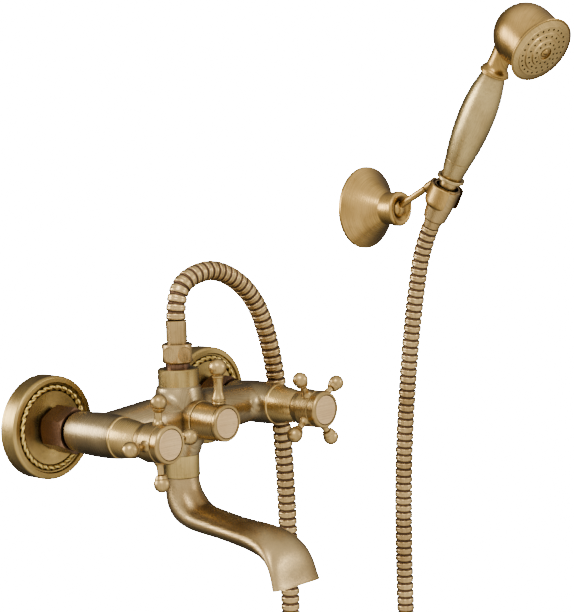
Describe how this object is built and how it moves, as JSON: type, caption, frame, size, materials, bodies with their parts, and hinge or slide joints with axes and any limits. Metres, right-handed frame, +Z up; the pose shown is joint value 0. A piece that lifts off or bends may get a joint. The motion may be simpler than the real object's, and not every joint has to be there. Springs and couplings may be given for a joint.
{
  "type": "wall mounted bath mixer",
  "caption": "Wall mounted bath mixer in antique brass with cross handles, diverter lever, swivel spout, ribbed hose, hand shower and its wall holder.",
  "frame": {"origin": "on the wall plane, midway between the two wall inlets and level with them", "axes": "+X to the right for someone facing the wall, +Y into the wall, +Z up"},
  "size_m": [0.4103, 0.2056, 0.6895],
  "materials": {
    "handle_brass": "brushed antique brass under clear lacquer",
    "body_brass": "satin antique brass, a little browner",
    "dark_brass": "dark aged brass",
    "disc_brass": "pale satin discs",
    "grip_brass": "pale brushed antique brass",
    "hose_brass": "ribbed strip with dark grooves",
    "rope_brass": "polished high spots over dark hollows",
    "holder_brass": "brushed antique brass",
    "rubber_seal": "black rubber",
    "screw_steel": "plain steel",
    "seat_plastic": "natural white plastic"
  },
  "bodies": {
    "mixer_and_holder": {"valve_body": "body_brass", "diverter_ring": "handle_brass", "diverter_cartridge": "handle_brass", "column_collar": "body_brass", "outlet_nipple": "dark_brass", "hose_washer_lower": "rubber_seal", "hose_ferrule_lower": "hose_brass", "hose_nut_lower": "hose_brass", "spout_collar": "body_brass", "hose_tube": "hose_brass", "holder_plate": "holder_brass", "holder_rose": "holder_brass", "holder_cup": "holder_brass", "holder_ball_seat": "seat_plastic", "wall_union_hot": "dark_brass", "escutcheon_hot": "handle_brass", "rope_ring_hot": "rope_brass", "union_nut_hot": "dark_brass", "union_gasket_hot": "rubber_seal", "bonnet_hot": "handle_brass", "cartridge_hot": "handle_brass", "wall_union_cold": "dark_brass", "escutcheon_cold": "handle_brass", "rope_ring_cold": "rope_brass", "union_nut_cold": "dark_brass", "union_gasket_cold": "rubber_seal", "bonnet_cold": "handle_brass", "cartridge_cold": "handle_brass"},
    "hot_handle": {"spindle_hot": "handle_brass", "handle_hub_hot": "handle_brass", "cross_arms_hot": "handle_brass", "cap_ring_hot": "handle_brass", "index_disc_hot": "disc_brass", "handle_screw_hot": "screw_steel"},
    "cold_handle": {"spindle_cold": "handle_brass", "handle_hub_cold": "handle_brass", "cross_arms_cold": "handle_brass", "cap_ring_cold": "handle_brass", "index_disc_cold": "disc_brass", "handle_screw_cold": "screw_steel"},
    "diverter_handle": {"diverter_spindle": "handle_brass", "diverter_dial": "handle_brass", "diverter_lever": "handle_brass", "cap_ring_diverter": "handle_brass", "index_disc_diverter": "disc_brass", "handle_screw_diverter": "screw_steel"},
    "swivel_spout": {"spout": "body_brass", "spout_seals": "rubber_seal"},
    "holder_arm": {"holder_rod": "holder_brass", "holder_fork": "holder_brass"},
    "hand_shower": {"hose_ferrule_upper": "hose_brass", "hose_washer_upper": "rubber_seal", "hose_nut_upper": "hose_brass", "shower_nipple": "dark_brass", "grip_ring": "grip_brass", "grip": "grip_brass", "shower_head": "grip_brass", "spray_face": "grip_brass", "face_screw": "screw_steel"}
  },
  "joints": [
    {"name": "hot_valve", "type": "hinge", "parent": "mixer_and_holder", "child": "hot_handle", "pos_m": [-0.075, -0.11, 0], "axis": [0, -1, 0], "range_deg": [0, 90]},
    {"name": "cold_valve", "type": "hinge", "parent": "mixer_and_holder", "child": "cold_handle", "pos_m": [0.075, -0.11, 0], "axis": [0, 1, 0], "range_deg": [0, 90]},
    {"name": "diverter_turn", "type": "hinge", "parent": "mixer_and_holder", "child": "diverter_handle", "pos_m": [0, -0.09, 0], "axis": [0, 1, 0], "range_deg": [0, 90]},
    {"name": "spout_swivel", "type": "hinge", "parent": "mixer_and_holder", "child": "swivel_spout", "pos_m": [0, -0.0578, -0.03], "axis": [0, 0, 1], "range_deg": [-70, 70]},
    {"name": "holder_tilt", "type": "hinge", "parent": "mixer_and_holder", "child": "holder_arm", "pos_m": [0.2683, -0.0315, 0.12], "axis": [-1, 0, 0], "range_deg": [-30, 8], "deforming": ["hose_tube"]},
    {"name": "shower_lift", "type": "slide", "parent": "holder_arm", "child": "hand_shower", "axis": [0, -0.4787, 0.878], "range_m": [0, 0.03], "deforming": ["hose_tube"]}
  ]
}
